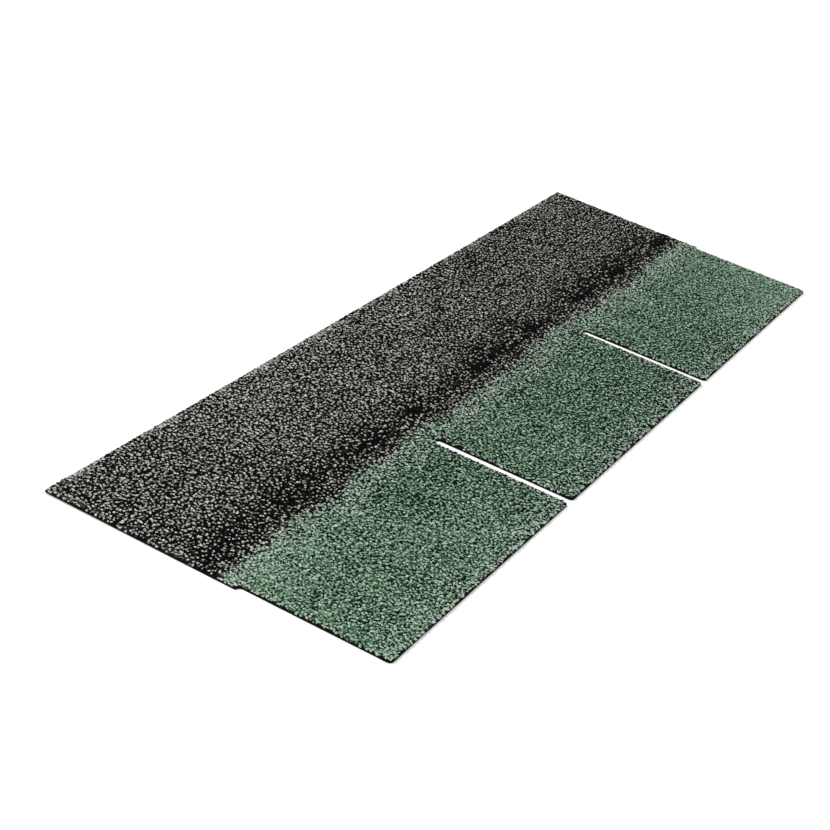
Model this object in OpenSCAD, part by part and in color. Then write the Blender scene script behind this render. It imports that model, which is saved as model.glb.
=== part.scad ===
// Three-tab asphalt roofing shingle: one bitumen-coated strip, cut into tabs along its lower
// half, with a line of adhesive dashes on top that holds down the tabs of the next course.
// X runs along the strip, Y runs up the roof slope from the tabs to the back edge, Z is up.
// The origin is the middle of the underside.

/* [Strip] */
// Length of the strip along the eaves
strip_l = 1000; // [600:1:1400]
// Width of the strip up the slope, from the tabs' free edges to the back edge
strip_w = 336; // [260:1:450]
// Thickness of the strip over its granules
strip_t = 3; // [1.5:0.1:6]
// Radius of the two back corners
back_corner_r = 1.5; // [0.5:0.5:20]

/* [Tabs] */
// Number of tabs along the strip
tab_count = 3; // [2:1:6]
// Length of the cut-outs up from the free edges, round end included
cutout_l = 143; // [60:1:240]
// Width of the cut-outs between two tabs
cutout_w = 9.5; // [4:0.5:20]
// Radius of the tabs' free corners
tab_corner_r = 4; // [0.5:0.5:20]

/* [Sealant] */
// Spacing of the adhesive dashes along the strip
dash_pitch = 118; // [90:1:250]
// Offset of the dash nearest the strip's middle, along the strip
dash_shift = 14; // [-45:1:45]
// Length of one dash over its round ends
dash_l = 74; // [24:1:110]
// Width of one dash
dash_w = 14; // [4:0.5:24]
// Height of the dashes over the granules
dash_t = 0.6; // [0.2:0.1:2]
// Rise from the cut-outs' inner ends to the middle of the dashes
dash_rise = 41; // [15:1:120]

/* [Hidden] */
$fn = 64;

free_y = -strip_w / 2;
back_y = strip_w / 2;
end_x = strip_l / 2;
tab_pitch = strip_l / tab_count;
cutout_end_y = free_y + cutout_l;
dash_y = cutout_end_y + dash_rise;
// Dashes are counted from the one nearest the middle. The adhesive is laid before the strip is
// cut to length, so a dash at an end stops with the strip, and one that would show only its
// round end is left out.
dash_reach = end_x + dash_l / 2 - dash_w;
first_dash = ceil((-dash_reach - dash_shift) / dash_pitch);
last_dash = floor((dash_reach - dash_shift) / dash_pitch);
// Overshoot of the cutting shapes past the edge they cut
overcut = 1;

// The corner between +X and +Y at the origin, outside a quarter round of radius r
module corner_waste(r) {
    difference() {
        translate([-overcut, -overcut]) square(r + overcut);
        translate([r, r]) circle(r);
    }
}

// A cut-out on the Y axis: open at the free edge, round at its inner end. Its mouth takes
// the free corners of the tabs on both sides with it.
module cutout() {
    inner_y = cutout_end_y - cutout_w / 2;
    mouth_y = free_y - overcut;
    translate([-cutout_w / 2, mouth_y]) square([cutout_w, inner_y - mouth_y]);
    translate([0, inner_y]) circle(d = cutout_w);
    for (side = [0, 1])
        mirror([side, 0]) translate([cutout_w / 2, free_y]) corner_waste(tab_corner_r);
}

// The strip's outline. The cut-outs on its two ends are halves of the same cut-out.
module outline() {
    difference() {
        translate([-end_x, free_y]) square([strip_l, strip_w]);
        for (i = [0 : tab_count])
            translate([i * tab_pitch - end_x, 0]) cutout();
        for (side = [0, 1])
            mirror([side, 0]) translate([-end_x, back_y]) mirror([0, 1]) corner_waste(back_corner_r);
    }
}

// One dash along X with round ends
module dash() {
    straight_l = dash_l - dash_w;
    translate([-straight_l / 2, -dash_w / 2]) square([straight_l, dash_w]);
    for (side = [-1, 1])
        translate([side * straight_l / 2, 0]) circle(d = dash_w);
}

module shingle() {
    color("#5b7262")
    linear_extrude(strip_t) outline();
}

module sealant_strip() {
    color("#17171a")
    translate([0, 0, strip_t])
    linear_extrude(dash_t)
    intersection() {
        for (i = [first_dash : last_dash])
            translate([dash_shift + i * dash_pitch, dash_y]) dash();
        translate([-end_x, free_y]) square([strip_l, strip_w]);
    }
}

shingle();
sealant_strip();
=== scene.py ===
"""Looks of a three-tab asphalt shingle: a bitumen-coated strip faced with crushed stone granules,
dark on the headlap and green on the tabs, with a row of adhesive dashes above the cut-outs.
Lengths are in metres."""
import math

import bpy
import numpy as np
from mathutils import Matrix, Vector
from mathutils.geometry import delaunay_2d_cdt


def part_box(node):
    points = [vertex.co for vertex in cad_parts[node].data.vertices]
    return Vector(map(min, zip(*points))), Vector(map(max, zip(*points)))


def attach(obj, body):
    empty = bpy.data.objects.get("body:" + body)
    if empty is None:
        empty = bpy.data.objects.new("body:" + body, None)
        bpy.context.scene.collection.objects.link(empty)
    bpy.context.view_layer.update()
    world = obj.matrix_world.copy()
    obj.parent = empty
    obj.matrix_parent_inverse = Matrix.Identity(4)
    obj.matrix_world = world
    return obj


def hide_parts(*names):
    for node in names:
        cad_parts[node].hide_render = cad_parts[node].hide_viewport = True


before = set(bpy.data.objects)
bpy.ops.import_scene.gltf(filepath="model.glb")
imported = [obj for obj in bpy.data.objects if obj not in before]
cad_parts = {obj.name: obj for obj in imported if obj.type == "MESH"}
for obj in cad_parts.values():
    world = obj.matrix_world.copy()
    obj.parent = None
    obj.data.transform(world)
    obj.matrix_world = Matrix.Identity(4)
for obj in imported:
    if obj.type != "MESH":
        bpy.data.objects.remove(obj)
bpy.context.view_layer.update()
STRIP_LOW, STRIP_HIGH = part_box("shingle")
STRIP_L = STRIP_HIGH.x - STRIP_LOW.x
SEED = 41

# Camera, at the photograph's angle. Azimuth 0 looks along +Y.
CAMERA_AZIMUTH_DEG = -66.39
CAMERA_ELEVATION_DEG = 28.52
CAMERA_ROLL_DEG = 12.43
CAMERA_DISTANCE = 1.822
CAMERA_TARGET = Vector((-0.1368, 0.0139, 0.0))
CAMERA_LENS_MM = 82.7
CAMERA_SENSOR_MM = 36.0
CAMERA_CLIP_START = 0.05
CAMERA_CLIP_END = 60.0

# Light. The lamps and the world together light a level white surface to about 1.
WORLD_STRENGTH = 0.28
KEY_POWER_W = 84.0
KEY_PLACE = Vector((-0.9, 1.9, 2.2))
KEY_SIZE = 1.6
FILL_POWER_W = 12.0
FILL_PLACE = Vector((1.6, -1.8, 2.0))
FILL_SIZE = 2.2

# Floor. The lift is what the camera sees on top of the floor's own light, so that it looks white
# and keeps the strip's shadow. It rises to 1 between the fade's two distances from the origin.
FLOOR_SIZE = 14.0
FLOOR_GAP = 0.0003
FLOOR_ALBEDO = 0.82
FLOOR_LIFT = 0.36
FLOOR_FADE = (0.6, 1.7)

# Noise. The shift of each octave from the one before it is in lattice steps.
NOISE_SIZE = 256
NOISE_OCTAVES = 3
OCTAVE_SHIFT = (17.3, 5.7)

# Strip. The bitumen's face lies below the strip's top by the height of the granules.
GRANULE_RELIEF = 0.0007
BITUMEN_TOP = STRIP_HIGH.z - GRANULE_RELIEF
OUTLINE_STEP = 0.003
LATTICE_STEP = 0.012
LATTICE_MARGIN = LATTICE_STEP / 3
CORNER_LIFT = 0.0011
CORNER_LIFT_POWER = 4
LOOKS_DOWN = -0.9

# Cut edges: how far in the wall lies and how high, from the underside up, and how it wanders.
# The wander's pattern shifts along X and Y by these multiples of the height.
WALL_LEVELS = (
    (-0.0004, 0.0),
    (-0.0005, 0.0003),
    (-0.0002, 0.0009),
    (0.0, 0.0018),
    (0.0001, BITUMEN_TOP - 0.0003),
    (0.0004, BITUMEN_TOP),
)
CUT_WANDER = 0.00018
CUT_WANDER_L = 0.007
CUT_WANDER_SHIFT = (40.0, 90.0)

# Granules. The jitter is a share of their spacing.
GRANULE_SPACING = 0.00208
GRANULE_JITTER = 0.36
GRANULE_RADIUS = (0.00130, 0.00202)
GRANULE_STRETCH = (0.8, 1.2)
GRANULE_CHIP = (0.78, 1.15)
GRANULE_FLATNESS = 0.54
GRANULE_SINK = 0.0004
GRANULE_EDGE_MARGIN = 0.0003
GRANULE_OVERHANG = 0.0006
BAND_NAMES = ("upper", "middle", "lower")
UV_FOLDS = 4
UV_SHRINK = 0.42

# Border of the two colours, as a distance from the back edge. Strays lie farther across it.
BORDER = 0.1755
BORDER_WAVE = 0.009
BORDER_WAVE_L = 0.055
BORDER_BLUR = 0.0026
STRAY_SHARE = 0.22
STRAY_REACH = 3.2

# Stain around the dashes. It starts at a distance from the back edge, is full between two places
# that are measured from the dashes' middle, and ends a little past the border.
STAIN_MOST = 0.41
STAIN_START = 0.106
STAIN_FULL = (-0.002, 0.004)
STAIN_PAST_BORDER = 0.004
STAIN_WAVE = 0.016
STAIN_WAVE_L = 0.05
STAIN_WAVE_SHIFT = (3.1, 0.0)

# Zones that differ from the plain areas: distances over which they fade out from the border, from
# the free edge, from the back edge and from the cut edges, and the patches that two of them keep to
PALE_FADE = (0.008, 0.036)
FREE_EDGE_FADE = (0.0, 0.042)
BACK_RIM_FADE = (0.002, 0.009)
BACK_RIM_PATCHES = (-0.5, 0.5)
WORN_FADE = (0.001, 0.011)
WORN_PATCHES = (-0.25, 0.45)
# Paler rim along the cut edges: granules this close to them are more often dusted pale
CUT_RIM_FADE = (0.0008, 0.0034)

# Blend: the share of light granules over that of the plain blend, its drift along the strip, what
# the zones add to it, and its patches
GREEN_BLEND = 0.88
GREEN_ENDS = 0.55
GREEN_ENDS_POWER = 3
GREEN_SLOPE = -0.10
GREEN_PALE = 0.06
GREEN_FREE_EDGE = 0.04
DARK_BLEND = 0.99
DARK_SLOPE = -0.18
DARK_BACK_RIM = 0.9
PATCHES = 0.22
PATCHES_L = 0.09
PATCHES_SHIFT = (9.0, 4.0)
FINE_PATCHES = 0.24
FINE_PATCHES_L = 0.02
FINE_PATCHES_SHIFT = (21.0, 13.0)

# Dust: the chance of a dusted granule in each zone, and how much dust hides the stone
DUST_CHANCE = {"pale": 0.42, "free_edge": 0.28, "worn": 0.42, "cut_rim": 0.6}
DUST_LEAST_SHADE = 0.33
GREEN_DUST = 0.62
DARK_DUST = 0.08

# Adhesive dashes. A dash that comes within the cut margin of the strip's end was cut off with it.
# The tip keeps a round end from running to a point. The base is sunk below the bitumen's face,
# and the underside lies below the base.
DASH_SEED = 133
DASH_STEP = 0.0011
DASH_ROWS = 11
DASH_LEAST_STEPS = 4
DASH_CUT_MARGIN = 1e-5
DASH_TIP = 0.004
DASH_LEAST_HALF_W = 0.0002
DASH_DOME_POWER = 5
DASH_SUNK = 0.0002
DASH_BELOW = 0.0003
DASH_WANDER = 0.0030
DASH_WANDER_L = 0.012
DASH_SIDES_APART = 0.5
DASH_SWAY = 0.6 * DASH_WANDER
DASH_SWAY_L = 0.05
DASH_SWAY_SHIFT = (0.0, 2.0)

# Fill of the dashes, as a share of their height: it grows along the strip and is uneven
DASH_FILL = 0.40
DASH_FILL_GROWTH = 0.16
DASH_FILL_RANGE = (0.12, 1.0)
DASH_LUMPS = 0.65
DASH_LUMPS_L = 0.0036
DASH_LUMPS_SHIFT = (5.0, 0.0)
DASH_PATCHES = 0.30
DASH_PATCHES_L = 0.022
DASH_PATCHES_SHIFT = (0.0, 3.0)


def smoothstep(low, high, value):
    t = np.clip((value - low) / (high - low), 0.0, 1.0)
    return t * t * (3.0 - 2.0 * t)


def fading(span, distance):
    """1 up to the start of the span, 0 from its end on."""
    return 1 - smoothstep(*span, distance)


class SmoothNoise:
    """Repeatable value noise over the plane, from -1 to 1, with one lattice step per unit."""

    def __init__(self, seed):
        self.values = np.random.default_rng(seed).uniform(-1.0, 1.0, (NOISE_SIZE, NOISE_SIZE))

    def at(self, x, y):
        x0 = np.floor(x).astype(int)
        y0 = np.floor(y).astype(int)
        u = smoothstep(0.0, 1.0, x - x0)
        v = smoothstep(0.0, 1.0, y - y0)
        a = self.values[x0 % NOISE_SIZE, y0 % NOISE_SIZE]
        b = self.values[(x0 + 1) % NOISE_SIZE, y0 % NOISE_SIZE]
        c = self.values[x0 % NOISE_SIZE, (y0 + 1) % NOISE_SIZE]
        d = self.values[(x0 + 1) % NOISE_SIZE, (y0 + 1) % NOISE_SIZE]
        return (a * (1 - u) + b * u) * (1 - v) + (c * (1 - u) + d * u) * v

    def layered(self, x, y, wavelength, shift=(0.0, 0.0)):
        """Octaves of the noise, added up. A shift takes them from another place of the same noise."""
        total = np.zeros(np.shape(x))
        weight = 0.0
        for octave in range(NOISE_OCTAVES):
            gain = 0.5 ** octave
            scale = 2.0 ** octave / wavelength
            u = (x + shift[0]) * scale + OCTAVE_SHIFT[0] * octave
            v = (y + shift[1]) * scale + OCTAVE_SHIFT[1] * octave
            total += gain * self.at(u, v)
            weight += gain
        return total / weight


def corner_lift(x, y):
    """How far the limp strip lifts off a flat surface: its back corners curl up a little."""
    along = np.abs(x) / (STRIP_L / 2)
    back = smoothstep(0.0, STRIP_HIGH.y, y)
    return CORNER_LIFT * along ** CORNER_LIFT_POWER * back


# Outline

def underside_loop(obj):
    """The strip's outline, anticlockwise, from the faces of its node that look down."""
    uses = {}
    for face in obj.data.polygons:
        if face.normal.z < LOOKS_DOWN:
            for key in face.edge_keys:
                uses[key] = uses.get(key, 0) + 1
    beside = {}
    for (a, b), count in uses.items():
        if count == 1:
            beside.setdefault(a, []).append(b)
            beside.setdefault(b, []).append(a)
    start = min(beside)
    loop = [start]
    last, here = start, beside[start][0]
    while here != start:
        loop.append(here)
        onward = [v for v in beside[here] if v != last]
        last, here = here, onward[0]
    points = np.array([obj.data.vertices[v].co[:2] for v in loop])
    x, y = points.T
    area = np.sum(x * np.roll(y, -1) - np.roll(x, -1) * y)
    return points if area > 0 else points[::-1]


def densified(loop, step):
    """The loop with its long edges split, so that no edge is longer than step."""
    points = []
    for a, b in zip(loop, np.roll(loop, -1, axis=0)):
        count = max(1, math.ceil(np.linalg.norm(b - a) / step))
        points.extend(a + (b - a) * i / count for i in range(count))
    return np.array(points)


def outward(loop):
    """Unit normals of a closed anticlockwise loop at its points."""
    along = np.roll(loop, -1, axis=0) - np.roll(loop, 1, axis=0)
    normal = np.stack([along[:, 1], -along[:, 0]], axis=1)
    return normal / np.linalg.norm(normal, axis=1, keepdims=True)


def edge_distance(points, loop):
    """Distance of each point from the outline, positive inside, and the outline's nearest point."""
    distance = np.full(len(points), np.inf)
    nearest = np.zeros((len(points), 2))
    crossings = np.zeros(len(points), int)
    px, py = points.T
    for a, b in zip(loop, np.roll(loop, -1, axis=0)):
        side = b - a
        t = np.clip((points - a) @ side / (side @ side), 0.0, 1.0)
        foot = a + t[:, None] * side
        away = np.hypot(px - foot[:, 0], py - foot[:, 1])
        closer = away < distance
        distance[closer] = away[closer]
        nearest[closer] = foot[closer]
        if a[1] != b[1]:
            spans = (a[1] > py) != (b[1] > py)
            crossings += spans & (px < a[0] + (py - a[1]) / side[1] * side[0])
    return np.where(crossings % 2 == 1, distance, -distance), nearest


# Meshes

def linked_object(name, mesh, material):
    mesh.materials.append(material)
    obj = bpy.data.objects.new(name, mesh)
    bpy.context.scene.collection.objects.link(obj)
    return obj


def polygon_object(name, verts, faces, material):
    mesh = bpy.data.meshes.new(name)
    mesh.from_pydata(np.asarray(verts).tolist(), [], faces)
    return linked_object(name, mesh, material)


def triangle_object(name, verts, triangles, material):
    """A flat-shaded object from arrays of points and triangles."""
    mesh = bpy.data.meshes.new(name)
    mesh.vertices.add(len(verts))
    mesh.vertices.foreach_set("co", verts.astype(np.float32).ravel())
    mesh.loops.add(triangles.size)
    mesh.loops.foreach_set("vertex_index", triangles.astype(np.int32).ravel())
    mesh.polygons.add(len(triangles))
    mesh.polygons.foreach_set("loop_start", np.arange(0, triangles.size, 3, dtype=np.int32))
    mesh.update(calc_edges=True)
    mesh.shade_flat()
    return linked_object(name, mesh, material)


def set_attribute(obj, name, values):
    attribute = obj.data.attributes.new(name, "FLOAT", "POINT")
    attribute.data.foreach_set("value", values.astype(np.float32))


# Coated mat

def lattice_points(loop):
    """A square lattice of points inside the outline, clear of its edge."""
    xs = np.arange(STRIP_LOW.x, STRIP_HIGH.x, LATTICE_STEP) + LATTICE_STEP / 2
    ys = np.arange(STRIP_LOW.y, STRIP_HIGH.y, LATTICE_STEP) + LATTICE_STEP / 2
    lattice = np.stack(np.meshgrid(xs, ys), axis=-1).reshape(-1, 2)
    return lattice[edge_distance(lattice, loop)[0] > LATTICE_MARGIN]


def flat_triangles(edge, lattice, loop):
    """Triangles that fill the outline, on the points of its edge and then those of the lattice."""
    inside_constraints = 1
    weld_distance = 1e-7
    flat = np.vstack([edge, lattice])
    ring = [(i, (i + 1) % len(edge)) for i in range(len(edge))]
    points = [Vector(point) for point in flat]
    cut = delaunay_2d_cdt(points, ring, [], inside_constraints, weld_distance, True)
    faces, sources = cut[2], cut[3]
    triangles = np.array([[sources[v][0] for v in face] for face in faces])
    middles = flat[triangles].mean(axis=1)
    return triangles[edge_distance(middles, loop)[0] > 0].tolist()


def wall_rings(edge):
    """Rings of points up the uneven cut edge, from the underside to the bitumen's face."""
    normal = outward(edge)
    noise = SmoothNoise(SEED)
    rings = []
    for inset, z in WALL_LEVELS:
        shift = (CUT_WANDER_SHIFT[0] * z, CUT_WANDER_SHIFT[1] * z)
        wander = CUT_WANDER * noise.layered(edge[:, 0], edge[:, 1], CUT_WANDER_L, shift)
        place = edge - normal * (inset - wander)[:, None]
        rings.append(np.column_stack([place, z + corner_lift(*place.T)]))
    return rings


def build_core(loop, bitumen, sand):
    """The coated mat: a slab up to the bitumen's face, with sand on its underside."""
    edge = densified(loop, OUTLINE_STEP)
    lattice = lattice_points(loop)
    rings = wall_rings(edge)
    lift = corner_lift(*lattice.T)
    under = np.column_stack([lattice, lift])
    over = np.column_stack([lattice, BITUMEN_TOP + lift])
    verts = np.vstack(rings + [under, over])

    edge_count = len(edge)
    first_under = edge_count * len(rings)
    first_over = first_under + len(lattice)
    top_ring = first_under - edge_count

    def numbered(face, first_edge, first_inner):
        return [first_edge + v if v < edge_count else first_inner + v - edge_count for v in face]

    triangles = flat_triangles(edge, lattice, loop)
    top = [numbered(face, top_ring, first_over) for face in triangles]
    bottom = [numbered(face[::-1], 0, first_under) for face in triangles]
    wall = []
    for low in range(0, top_ring, edge_count):
        high = low + edge_count
        for i in range(edge_count):
            j = (i + 1) % edge_count
            wall.append([low + i, low + j, high + j, high + i])
    obj = polygon_object("coated_mat", verts, top + bottom + wall, bitumen)
    obj.data.materials.append(sand)
    slots = np.repeat([0, 1, 0], [len(top), len(bottom), len(wall)])
    obj.data.polygons.foreach_set("material_index", slots.astype(np.int32))
    return obj


# Granules

# A grain before it is chipped and turned: two five-sided pyramids, base to base
GRAIN_SIDES = 5
GRAIN_POLE = 0.9
GRAIN_ANGLES = np.arange(GRAIN_SIDES) * math.tau / GRAIN_SIDES
GRAIN_POINTS = np.array(
    [(math.cos(angle), math.sin(angle), 0.0) for angle in GRAIN_ANGLES]
    + [(0.0, 0.0, GRAIN_POLE), (0.0, 0.0, -GRAIN_POLE)]
)
GRAIN_FACES = np.array(
    [(i, (i + 1) % GRAIN_SIDES, GRAIN_SIDES) for i in range(GRAIN_SIDES)]
    + [((i + 1) % GRAIN_SIDES, i, GRAIN_SIDES + 1) for i in range(GRAIN_SIDES)]
)
GRAIN_VERTS = len(GRAIN_POINTS)


def dealt_shades(rng, rows, columns):
    """Values from 0 to 1 for a lattice of even size, with each quarter once in a block of four."""
    deck = np.broadcast_to(np.arange(4), (rows // 2, columns // 2, 4))
    dealt = rng.permuted(deck, axis=2).reshape(rows // 2, columns // 2, 2, 2)
    quarter = dealt.transpose(0, 2, 1, 3).reshape(rows, columns)
    return (quarter + rng.uniform(size=(rows, columns))) / 4


def scattered(rng, loop):
    """A shaken hexagonal lattice of granules in the outline: centres, edge distances and shades."""
    row_step = GRANULE_SPACING * math.sqrt(0.75)
    columns = 2 * math.ceil(STRIP_L / GRANULE_SPACING / 2)
    rows = 2 * math.ceil((STRIP_HIGH.y - STRIP_LOW.y) / row_step / 2)
    row, column = np.meshgrid(np.arange(rows), np.arange(columns), indexing="ij")
    x = STRIP_LOW.x + (column + 0.5 * (row % 2)) * GRANULE_SPACING
    y = STRIP_LOW.y + row * row_step
    points = np.stack([x, y], axis=-1).reshape(-1, 2)
    points += rng.uniform(-1, 1, points.shape) * GRANULE_JITTER * GRANULE_SPACING
    shade = dealt_shades(rng, rows, columns).ravel()
    inside = edge_distance(points, loop)[0]
    keep = inside > GRANULE_EDGE_MARGIN
    return points[keep], inside[keep], shade[keep]


def random_turns(rng, count):
    """Rotation matrices spread evenly over all directions."""
    q = rng.normal(size=(count, 4))
    q /= np.linalg.norm(q, axis=1, keepdims=True)
    w, x, y, z = q.T
    return np.stack([
        np.stack([1 - 2 * (y * y + z * z), 2 * (x * y - z * w), 2 * (x * z + y * w)], axis=-1),
        np.stack([2 * (x * y + z * w), 1 - 2 * (x * x + z * z), 2 * (y * z - x * w)], axis=-1),
        np.stack([2 * (x * z - y * w), 2 * (y * z + x * w), 1 - 2 * (x * x + y * y)], axis=-1),
    ], axis=1)


def grain_shapes(rng, points):
    """Angular grains, turned at random and pressed into the bitumen, as arrays of their points."""
    count = len(points)
    radius = rng.uniform(*GRANULE_RADIUS, (count, 1, 1))
    stretch = rng.uniform(*GRANULE_STRETCH, (count, 1, 3))
    chipped = rng.uniform(*GRANULE_CHIP, (count, GRAIN_VERTS, 1))
    shape = GRAIN_POINTS[None] * radius * stretch * chipped
    shape = np.einsum("nij,nkj->nki", random_turns(rng, count), shape)
    shape[:, :, 2] *= GRANULE_FLATNESS
    top = STRIP_HIGH.z - rng.uniform(0.0, GRANULE_SINK, count) + corner_lift(*points.T)
    shape[:, :, 2] += (top - shape[:, :, 2].max(axis=1))[:, None]
    shape[:, :, :2] += points[:, None]
    return shape


def cut_at_edge(shape, inside, loop):
    """Cuts the grains that reach too far over the strip's edge, by drawing their points back."""
    near = np.flatnonzero(inside < 2 * GRANULE_RADIUS[1])
    flat = shape[near, :, :2].reshape(-1, 2)
    distance, foot = edge_distance(flat, loop)
    over = distance < -GRANULE_OVERHANG
    inward = (flat - foot) / distance[:, None]
    flat[over] = (foot - inward * GRANULE_OVERHANG)[over]
    shape[near, :, :2] = flat.reshape(len(near), GRAIN_VERTS, 2)


def stain_at(noise, x, from_back, border, dash_from_back):
    """The share of light granules that the bitumen of the dashes has blackened around them."""
    wave = STAIN_WAVE * noise.layered(x, from_back, STAIN_WAVE_L, STAIN_WAVE_SHIFT)
    above = smoothstep(STAIN_START, dash_from_back + STAIN_FULL[0], from_back + wave)
    below = fading((dash_from_back + STAIN_FULL[1], border + STAIN_PAST_BORDER), from_back)
    return STAIN_MOST * above * below


def granule_zones(x, y, inside, border, fine_patches):
    """How far each granule belongs to the zones that differ from the plain areas, from 0 to 1."""
    from_back = STRIP_HIGH.y - y
    return {
        "pale": fading(PALE_FADE, from_back - border),
        "free_edge": fading(FREE_EDGE_FADE, y - STRIP_LOW.y),
        "back_rim": fading(BACK_RIM_FADE, from_back) * smoothstep(*BACK_RIM_PATCHES, fine_patches),
        "worn": fading(WORN_FADE, inside) * smoothstep(*WORN_PATCHES, fine_patches),
        "cut_rim": fading(CUT_RIM_FADE, inside),
    }


def light_share(x, green, zones, stain):
    """The share of light granules around each granule, over that of the plain blend."""
    along = x / (STRIP_L / 2)
    green_drift = GREEN_BLEND + GREEN_ENDS * np.abs(along) ** GREEN_ENDS_POWER + GREEN_SLOPE * along
    dark_drift = DARK_BLEND + DARK_SLOPE * along
    green_share = (1 + GREEN_PALE * zones["pale"] + GREEN_FREE_EDGE * zones["free_edge"]) * green_drift
    dark_share = (1 + DARK_BACK_RIM * zones["back_rim"]) * (1 - stain) * dark_drift
    return np.where(green, green_share, dark_share)


def granule_looks(rng, points, inside, shade, dash_from_back):
    """Which granules are green, and the values that the materials read for each granule."""
    noise = SmoothNoise(SEED + 1)
    x, y = points.T
    from_back = STRIP_HIGH.y - y
    border = BORDER + BORDER_WAVE * noise.layered(x, 0 * x, BORDER_WAVE_L)
    reach = np.where(rng.uniform(size=len(x)) < STRAY_SHARE, STRAY_REACH, 1.0)
    green = from_back + reach * rng.normal(0.0, BORDER_BLUR, len(x)) > border

    patches = noise.layered(x, y, PATCHES_L, PATCHES_SHIFT)
    fine_patches = noise.layered(x, y, FINE_PATCHES_L, FINE_PATCHES_SHIFT)
    zones = granule_zones(x, y, inside, border, fine_patches)
    stain = stain_at(noise, x, from_back, border, dash_from_back)
    share = light_share(x, green, zones, stain)
    share = share * (1 + PATCHES * patches + FINE_PATCHES * fine_patches)

    chance = sum(DUST_CHANCE[zone] * zones[zone] for zone in DUST_CHANCE)
    dusted = rng.uniform(size=len(x)) < chance
    dusted &= shade > DUST_LEAST_SHADE
    values = {
        "shade": np.clip(1 - (1 - shade) / share, 0.0, 1.0),
        "dust": np.where(green, GREEN_DUST * dusted, DARK_DUST * zones["worn"]),
    }
    return green, values


def folded_map(points, shape, low, high):
    """UVs of the grains of one band: seen from above, folded into rows to fill a square.
    Each grain is drawn small about its own middle, so that neighbours don't run together."""
    fold_l = (high[0] - low[0]) / UV_FOLDS
    along = (points[:, 0] - low[0]) / fold_l
    fold = np.clip(np.floor(along), 0, UV_FOLDS - 1)
    u = along - fold
    v = (fold + (points[:, 1] - low[1]) / (high[1] - low[1])) / UV_FOLDS
    offset = (shape[:, :, :2] - points[:, None]) * UV_SHRINK
    place = np.stack([u, v], axis=-1)[:, None]
    place = place + offset / np.array([fold_l, (high[1] - low[1]) * UV_FOLDS])
    return np.clip(place, 0.0, 1.0)


def build_band(name, points, shape, values, material):
    """One piece of granules, with the values that its material reads for each granule."""
    firsts = GRAIN_VERTS * np.arange(len(points))
    triangles = (GRAIN_FACES[None] + firsts[:, None, None]).reshape(-1, 3)
    obj = triangle_object(name, shape.reshape(-1, 3), triangles, material)
    for key, value in values.items():
        set_attribute(obj, key, np.repeat(value, GRAIN_VERTS))
    uv = folded_map(points, shape, points.min(axis=0), points.max(axis=0)).reshape(-1, 2)
    layer = obj.data.uv_layers.new(name="OFBake")
    layer.data.foreach_set("uv", uv[triangles.ravel()].astype(np.float32).ravel())
    return obj


def build_granules(loop, dash_y, materials):
    """All granules, as bands along the strip: dark ones on the headlap, green ones on the tabs."""
    rng = np.random.default_rng(SEED)
    points, inside, shade = scattered(rng, loop)
    shape = grain_shapes(rng, points)
    cut_at_edge(shape, inside, loop)
    green, values = granule_looks(rng, points, inside, shade, STRIP_HIGH.y - dash_y)
    pieces = []
    for part, chosen, slot in (("headlap", ~green, "dark_granules"), ("tab", green, "green_granules")):
        index = np.flatnonzero(chosen)
        index = index[np.argsort(-points[index, 1], kind="stable")]
        for band, members in zip(BAND_NAMES, np.array_split(index, len(BAND_NAMES))):
            name = f"{part}_granules_{band}"
            band_values = {key: value[members] for key, value in values.items()}
            piece = build_band(name, points[members], shape[members], band_values, materials[slot])
            pieces.append(piece)
    return pieces


# Adhesive dashes

def dash_boxes(obj):
    """Low and high corners of each dash of the sealant node, from left to right."""
    weld_decimals = 6
    leader = list(range(len(obj.data.vertices)))

    def root(v):
        while leader[v] != v:
            v = leader[v]
        return v

    places = {}
    for v in obj.data.vertices:
        key = tuple(round(c, weld_decimals) for c in v.co)
        leader[v.index] = places.setdefault(key, v.index)
    for face in obj.data.polygons:
        first = root(face.vertices[0])
        for v in face.vertices[1:]:
            leader[root(v)] = first
            first = root(first)
    groups = {}
    for v in obj.data.vertices:
        groups.setdefault(root(v.index), []).append(v.co[:])
    boxes = [(np.min(group, axis=0), np.max(group, axis=0)) for group in groups.values()]
    return sorted(boxes, key=lambda box: box[0][0])


def end_taper(xs, low, high, half_w):
    """0 at the tip of a dash, 1 from where its round end begins. An end that was cut off has no tip."""
    cut_left = low[0] < STRIP_LOW.x + DASH_CUT_MARGIN
    cut_right = high[0] > STRIP_HIGH.x - DASH_CUT_MARGIN
    from_left = np.ones(len(xs)) if cut_left else (xs - low[0]) / half_w
    from_right = np.ones(len(xs)) if cut_right else (high[0] - xs) / half_w
    return np.clip(np.minimum(from_left, from_right), 0.0, 1.0)


def dash_fill(x, y, noise):
    """How full a dash is laid, as a share of its height."""
    level = DASH_FILL + DASH_FILL_GROWTH * x / (STRIP_L / 2)
    lumps = DASH_LUMPS * noise.layered(x, y, DASH_LUMPS_L, DASH_LUMPS_SHIFT)
    patches = DASH_PATCHES * noise.layered(x, y, DASH_PATCHES_L, DASH_PATCHES_SHIFT)
    return np.clip(level + (lumps + patches), *DASH_FILL_RANGE)


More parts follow.
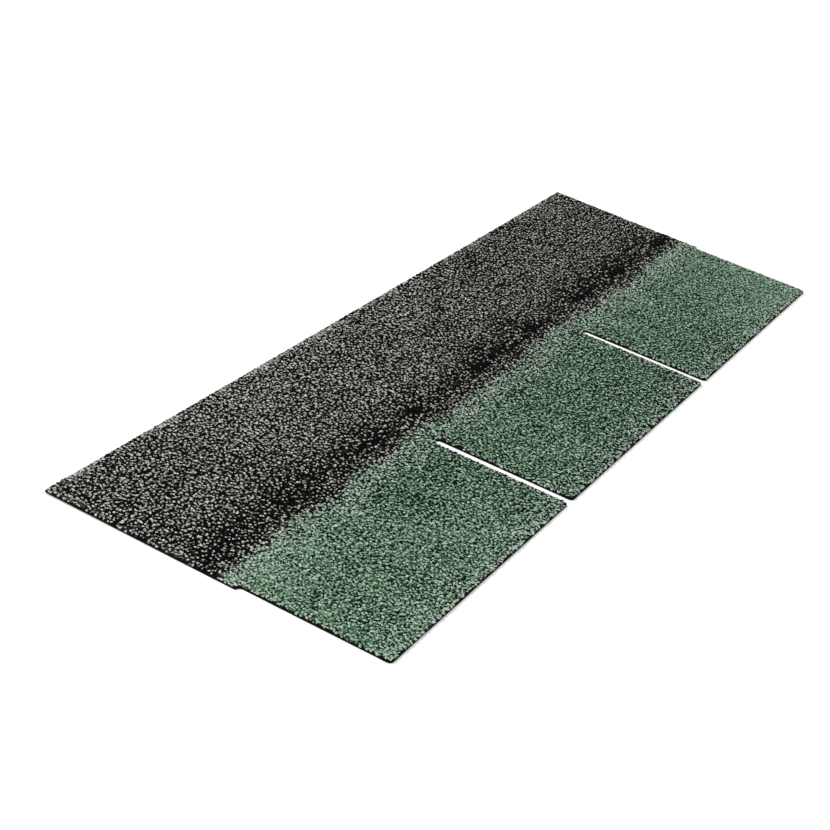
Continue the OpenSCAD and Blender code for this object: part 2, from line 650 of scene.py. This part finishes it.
def dash_shape(low, high, noise):
    """One laid smear: a low uneven dome, sunk so that granules stand out of its thin places."""
    mid_y = (low[1] + high[1]) / 2
    half_w = (high[1] - low[1]) / 2
    steps = max(DASH_LEAST_STEPS, round((high[0] - low[0]) / DASH_STEP))
    xs = np.linspace(low[0], high[0], steps + 1)
    x, across = np.meshgrid(xs, np.linspace(-1.0, 1.0, DASH_ROWS), indexing="ij")
    taper = end_taper(xs, low, high, half_w)[:, None]

    rounded = half_w * np.sqrt(np.maximum(1 - (1 - taper) ** 2, DASH_TIP))
    side = np.sign(across) * DASH_SIDES_APART
    rim = rounded + DASH_WANDER * noise.layered(x, side, DASH_WANDER_L) * taper
    sway = DASH_SWAY * noise.layered(x, 0 * x, DASH_SWAY_L, DASH_SWAY_SHIFT)
    y = mid_y + sway + across * np.maximum(rim, DASH_LEAST_HALF_W)

    dome = np.sqrt(np.maximum(1 - np.abs(across) ** DASH_DOME_POWER, 0.0)) * np.sqrt(taper)
    base = BITUMEN_TOP - DASH_SUNK + corner_lift(x, y)
    z = base + (high[2] - BITUMEN_TOP) * dome * dash_fill(x, y, noise)
    upper = np.stack([x, y, z], axis=-1)
    lower = np.stack([x, y, base - DASH_BELOW], axis=-1)
    return upper, lower


def grid_faces(rows, columns, first, flip):
    """Quads of a grid of points that are numbered row by row."""
    faces = []
    for i in range(rows - 1):
        for j in range(columns - 1):
            a = first + i * columns + j
            quad = [a, a + columns, a + columns + 1, a + 1]
            faces.append(quad[::-1] if flip else quad)
    return faces


def grid_rim(rows, columns):
    """Numbers of the points around such a grid, in order."""
    rim = [(i, 0) for i in range(rows)]
    rim += [(rows - 1, j) for j in range(1, columns)]
    rim += [(i, columns - 1) for i in range(rows - 2, -1, -1)]
    rim += [(0, j) for j in range(columns - 2, 0, -1)]
    return [i * columns + j for i, j in rim]


def build_dashes(boxes, material):
    """All dashes, as one piece of closed smears."""
    noise = SmoothNoise(DASH_SEED)
    verts, faces = [], []
    for low, high in boxes:
        upper, lower = dash_shape(low, high, noise)
        rows, columns = upper.shape[:2]
        first = sum(len(v) for v in verts)
        under = first + rows * columns
        verts += [upper.reshape(-1, 3), lower.reshape(-1, 3)]
        faces += grid_faces(rows, columns, first, False)
        faces += grid_faces(rows, columns, under, True)
        rim = grid_rim(rows, columns)
        for a, b in zip(rim, rim[1:] + rim[:1]):
            faces.append([first + b, first + a, under + a, under + b])
    obj = polygon_object("sealant_dashes", np.vstack(verts), faces, material)
    obj.data.shade_smooth()
    return obj


# Materials

class Nodes:
    """Builds the node tree of one material."""

    def __init__(self, name):
        self.material = bpy.data.materials.new(name)
        self.material.use_nodes = True
        self.tree = self.material.node_tree
        self.tree.nodes.clear()
        self.output = self.tree.nodes.new("ShaderNodeOutputMaterial")

    def add(self, kind, inputs=None, **settings):
        node = self.tree.nodes.new(kind)
        for key, value in settings.items():
            setattr(node, key, value)
        for key, value in (inputs or {}).items():
            self.feed(node.inputs[key], value)
        return node

    def feed(self, socket, value):
        """Links the value to the socket if it comes from a node, and sets it there if it doesn't."""
        if isinstance(value, bpy.types.NodeSocket):
            self.tree.links.new(value, socket)
        else:
            socket.default_value = value

    def attribute(self, name):
        return self.add("ShaderNodeAttribute", attribute_name=name).outputs["Fac"]

    def place(self):
        return self.add("ShaderNodeTexCoord").outputs["Object"]

    def noise(self, settings, place=None):
        inputs = {"Vector": place or self.place(), **settings}
        return self.add("ShaderNodeTexNoise", inputs).outputs["Fac"]

    def ramp(self, value, stops):
        node = self.add("ShaderNodeValToRGB", {"Fac": value})
        elements = node.color_ramp.elements
        while len(elements) < len(stops):
            elements.new(1.0)
        for element, (position, colour) in zip(elements, stops):
            element.position = position
            element.color = (*colour, 1.0)
        return node.outputs["Color"]

    def remap(self, value, span, result):
        """The value, with the two ends of its span brought to those of the result."""
        inputs = {
            "Value": value,
            "From Min": span[0],
            "From Max": span[1],
            "To Min": result[0],
            "To Max": result[1],
        }
        return self.add("ShaderNodeMapRange", inputs).outputs["Result"]

    def product(self, a, b):
        return self.add("ShaderNodeMath", {0: a, 1: b}, operation="MULTIPLY").outputs["Value"]

    def mix(self, factor, a, b, blend="MIX"):
        """Mixes two colours. The node's sockets for colours are 6 and 7, and 2 for the result."""
        node = self.add("ShaderNodeMix", data_type="RGBA", blend_type=blend)
        self.feed(node.inputs[0], factor)
        self.feed(node.inputs[6], a)
        self.feed(node.inputs[7], (*b, 1.0) if isinstance(b, tuple) else b)
        return node.outputs[2]

    def bump(self, height, settings):
        return self.add("ShaderNodeBump", {"Height": height, **settings}).outputs["Normal"]

    def surface(self, inputs):
        shader = self.add("ShaderNodeBsdfPrincipled", inputs)
        self.tree.links.new(shader.outputs["BSDF"], self.output.inputs["Surface"])
        return self.material


# The part of a noise's values that most of them lie in
NOISE_MIDDLE = (0.3, 0.7)

# Granules: stones by shade, from dark to light, then the mottle of each stone and its dust
DARK_STOPS = (
    (0.00, (0.001, 0.001, 0.001)),
    (0.58, (0.003, 0.003, 0.0027)),
    (0.65, (0.060, 0.062, 0.052)),
    (0.73, (0.36, 0.366, 0.318)),
    (0.87, (0.64, 0.646, 0.580)),
    (1.00, (0.86, 0.865, 0.80)),
)
GREEN_STOPS = (
    (0.00, (0.003, 0.008, 0.004)),
    (0.30, (0.005, 0.020, 0.009)),
    (0.40, (0.072, 0.165, 0.086)),
    (0.62, (0.200, 0.360, 0.222)),
    (0.83, (0.42, 0.62, 0.460)),
    (1.00, (0.72, 0.87, 0.760)),
)
GRANULE_NOISE = {"Scale": 1900.0, "Detail": 2.0, "Roughness": 0.5}
GRANULE_MOTTLE = ((0.25, (0.72, 0.72, 0.72)), (0.75, (1.0, 1.0, 1.0)))
GRANULE_ROUGHNESS = (0.72, 0.95)
GRANULE_SPECULAR = 0.02
DUST_GREY = (0.66, 0.70, 0.63)

# Bitumen, and the heights between which the mat's fibres show in its cut edges
BITUMEN_CLOUD = {"Scale": 160.0, "Detail": 5.0, "Roughness": 0.6}
BITUMEN_STOPS = ((0.3, (0.0015, 0.0015, 0.0016)), (0.7, (0.006, 0.0059, 0.0058)))
BITUMEN_ROUGHNESS = (0.42, 0.72)
BITUMEN_GRAIN = {"Scale": 700.0, "Detail": 4.0, "Roughness": 0.6}
BITUMEN_BUMP = {"Strength": 0.5, "Distance": 0.0003}
BITUMEN_SPECULAR = 0.03
MAT_START = (0.0007, 0.0009)
MAT_END = (0.0012, 0.0014)
FIBRE_NOISE = {"Scale": 900.0, "Detail": 4.0, "Roughness": 0.6}
FIBRE_SQUEEZE = (1.0, 1.0, 9.0)
FIBRE_SPAN = (0.45, 0.7)
FIBRE_MOST = 0.5
FIBRE_COLOUR = (0.075, 0.070, 0.062)

# Sand on the underside, with bare places
SAND_SCALE = 1500.0
SAND_STOPS = (
    (0.0, (0.020, 0.020, 0.019)),
    (0.55, (0.055, 0.053, 0.048)),
    (0.9, (0.13, 0.125, 0.11)),
    (1.0, (0.26, 0.25, 0.22)),
)
SAND_CLOUD = {"Scale": 24.0, "Detail": 4.0, "Roughness": 0.6}
SAND_BARE_SPAN = (0.52, 0.72)
SAND_BARE_MOST = 0.75
SAND_BARE_COLOUR = (0.016, 0.016, 0.016)
SAND_ROUGHNESS_SPAN = (0.3, 0.75)
SAND_ROUGHNESS = (0.92, 0.6)
SAND_BUMP = {"Strength": 0.6, "Distance": 0.0004}

# Adhesive
SEALANT_CLOUD = {"Scale": 220.0, "Detail": 4.0, "Roughness": 0.55}
SEALANT_STOPS = ((0.3, (0.0008, 0.0008, 0.0009)), (0.72, (0.003, 0.003, 0.0033)))
SEALANT_ROUGHNESS = (0.5, 0.8)
SEALANT_GRAIN = {"Scale": 900.0, "Detail": 3.0, "Roughness": 0.6}
SEALANT_BUMP = {"Strength": 0.35, "Distance": 0.0004}
SEALANT_SPECULAR = 0.01


def granule_material(name, stops):
    """Crushed stone: each grain takes its mineral from its own shade, then a little dust."""
    nodes = Nodes(name)
    mineral = nodes.ramp(nodes.attribute("shade"), stops)
    grain = nodes.noise(GRANULE_NOISE)
    mottled = nodes.mix(1.0, mineral, nodes.ramp(grain, GRANULE_MOTTLE), "MULTIPLY")
    return nodes.surface({
        "Base Color": nodes.mix(nodes.attribute("dust"), mottled, DUST_GREY),
        "Roughness": nodes.remap(grain, NOISE_MIDDLE, GRANULE_ROUGHNESS),
        "Specular IOR Level": GRANULE_SPECULAR,
    })


def bitumen_material():
    """Black coating, with the pale fibres of the mat showing in a line along the cut edges."""
    nodes = Nodes("bitumen")
    place = nodes.place()
    height = nodes.add("ShaderNodeSeparateXYZ", {"Vector": place}).outputs["Z"]
    in_mat = nodes.product(
        nodes.remap(height, MAT_START, (0.0, 1.0)),
        nodes.remap(height, MAT_END, (1.0, 0.0)),
    )
    squeezed = nodes.add("ShaderNodeMapping", {"Vector": place, "Scale": FIBRE_SQUEEZE})
    fibres = nodes.noise(FIBRE_NOISE, squeezed.outputs["Vector"])
    showing = nodes.product(in_mat, nodes.remap(fibres, FIBRE_SPAN, (0.0, FIBRE_MOST)))
    cloud = nodes.noise(BITUMEN_CLOUD)
    return nodes.surface({
        "Base Color": nodes.mix(showing, nodes.ramp(cloud, BITUMEN_STOPS), FIBRE_COLOUR),
        "Roughness": nodes.remap(cloud, NOISE_MIDDLE, BITUMEN_ROUGHNESS),
        "Normal": nodes.bump(nodes.noise(BITUMEN_GRAIN), BITUMEN_BUMP),
        "Specular IOR Level": BITUMEN_SPECULAR,
    })


def sand_material():
    """Underside: fine sand pressed into the bitumen so that strips don't stick in the pack."""
    nodes = Nodes("sanded_back")
    cells = nodes.add("ShaderNodeTexVoronoi", {"Vector": nodes.place(), "Scale": SAND_SCALE})
    tone = nodes.add("ShaderNodeSeparateColor", {"Color": cells.outputs["Color"]}).outputs["Red"]
    cloud = nodes.noise(SAND_CLOUD)
    bare = nodes.remap(cloud, SAND_BARE_SPAN, (0.0, SAND_BARE_MOST))
    return nodes.surface({
        "Base Color": nodes.mix(bare, nodes.ramp(tone, SAND_STOPS), SAND_BARE_COLOUR),
        "Roughness": nodes.remap(cloud, SAND_ROUGHNESS_SPAN, SAND_ROUGHNESS),
        "Normal": nodes.bump(cells.outputs["Distance"], SAND_BUMP),
    })


def sealant_material():
    """Soft black adhesive with a dull sheen."""
    nodes = Nodes("sealant")
    cloud = nodes.noise(SEALANT_CLOUD)
    return nodes.surface({
        "Base Color": nodes.ramp(cloud, SEALANT_STOPS),
        "Roughness": nodes.remap(cloud, NOISE_MIDDLE, SEALANT_ROUGHNESS),
        "Normal": nodes.bump(nodes.noise(SEALANT_GRAIN), SEALANT_BUMP),
        "Specular IOR Level": SEALANT_SPECULAR,
    })


# Stage

def camera_share(tree):
    """1 for rays that show the background itself, 0 for the light that it gives."""
    path = tree.nodes.new("ShaderNodeLightPath")
    most = path.outputs["Is Camera Ray"]
    for name in ("Is Glossy Ray", "Is Transmission Ray"):
        larger = tree.nodes.new("ShaderNodeMath")
        larger.operation = "MAXIMUM"
        tree.links.new(most, larger.inputs[0])
        tree.links.new(path.outputs[name], larger.inputs[1])
        most = larger.outputs["Value"]
    return most


def floor_material():
    nodes = Nodes("floor")
    albedo = (FLOOR_ALBEDO, FLOOR_ALBEDO, FLOOR_ALBEDO, 1.0)
    diffuse = nodes.add("ShaderNodeBsdfDiffuse", {"Color": albedo})
    away = nodes.add("ShaderNodeVectorMath", {0: nodes.place()}, operation="LENGTH").outputs["Value"]
    lift = nodes.product(camera_share(nodes.tree), nodes.remap(away, FLOOR_FADE, (FLOOR_LIFT, 1.0)))
    glow = nodes.add("ShaderNodeEmission", {"Color": (1.0, 1.0, 1.0, 1.0), "Strength": lift})
    both = nodes.add("ShaderNodeAddShader", {0: diffuse.outputs["BSDF"], 1: glow.outputs["Emission"]})
    nodes.tree.links.new(both.outputs["Shader"], nodes.output.inputs["Surface"])
    return nodes.material


def build_floor():
    half = FLOOR_SIZE / 2
    z = STRIP_LOW.z - FLOOR_GAP
    corners = [(-half, -half, z), (half, -half, z), (half, half, z), (-half, half, z)]
    floor = polygon_object("floor", corners, [[0, 1, 2, 3]], floor_material())


def build_world():
    """White to the camera, and a weaker light on the object."""
    world = bpy.data.worlds.new("studio")
    world.use_nodes = True
    tree = world.node_tree
    background = tree.nodes["Background"]
    background.inputs["Color"].default_value = (1.0, 1.0, 1.0, 1.0)
    strength = tree.nodes.new("ShaderNodeMapRange")
    strength.inputs["To Min"].default_value = WORLD_STRENGTH
    strength.inputs["To Max"].default_value = 1.0
    tree.links.new(camera_share(tree), strength.inputs["Value"])
    tree.links.new(strength.outputs["Result"], background.inputs["Strength"])
    bpy.context.scene.world = world


def area_lamp(name, place, size, power):
    """A square lamp that shines at the origin."""
    lamp = bpy.data.lights.new(name, "AREA")
    lamp.energy = power
    lamp.size = size
    obj = bpy.data.objects.new(name, lamp)
    obj.location = place
    obj.rotation_euler = (-place).to_track_quat("-Z", "Y").to_euler()
    bpy.context.scene.collection.objects.link(obj)


def build_camera():
    azimuth = math.radians(CAMERA_AZIMUTH_DEG)
    elevation = math.radians(CAMERA_ELEVATION_DEG)
    roll = math.radians(CAMERA_ROLL_DEG)
    level = math.cos(elevation)
    back = Vector((math.sin(azimuth) * level, -math.cos(azimuth) * level, math.sin(elevation)))
    right = Vector((math.cos(azimuth), math.sin(azimuth), 0.0))
    up = back.cross(right)
    turned_right = right * math.cos(roll) + up * math.sin(roll)
    turned_up = up * math.cos(roll) - right * math.sin(roll)
    data = bpy.data.cameras.new("camera")
    data.sensor_width = CAMERA_SENSOR_MM
    data.lens = CAMERA_LENS_MM
    data.clip_start = CAMERA_CLIP_START
    data.clip_end = CAMERA_CLIP_END
    camera = bpy.data.objects.new("camera", data)
    axes = Matrix((turned_right, turned_up, back)).transposed().to_4x4()
    camera.matrix_world = Matrix.Translation(CAMERA_TARGET + back * CAMERA_DISTANCE) @ axes
    bpy.context.scene.collection.objects.link(camera)
    bpy.context.scene.camera = camera


build_camera()
build_world()
build_floor()
area_lamp("key", KEY_PLACE, KEY_SIZE, KEY_POWER_W)
area_lamp("fill", FILL_PLACE, FILL_SIZE, FILL_POWER_W)
bpy.context.scene.view_settings.view_transform = "Standard"

strip_loop = underside_loop(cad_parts["shingle"])
dashes = dash_boxes(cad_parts["sealant_strip"])
dash_middle_y = float((dashes[0][0][1] + dashes[0][1][1]) / 2)

mat_piece = build_core(strip_loop, bitumen_material(), sand_material())
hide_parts("shingle")
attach(mat_piece, "root")

granule_materials = {
    "dark_granules": granule_material("dark_granules", DARK_STOPS),
    "green_granules": granule_material("green_granules", GREEN_STOPS),
}
for granule_piece in build_granules(strip_loop, dash_middle_y, granule_materials):
    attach(granule_piece, "root")

dash_piece = build_dashes(dashes, sealant_material())
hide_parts("sealant_strip")
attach(dash_piece, "root")
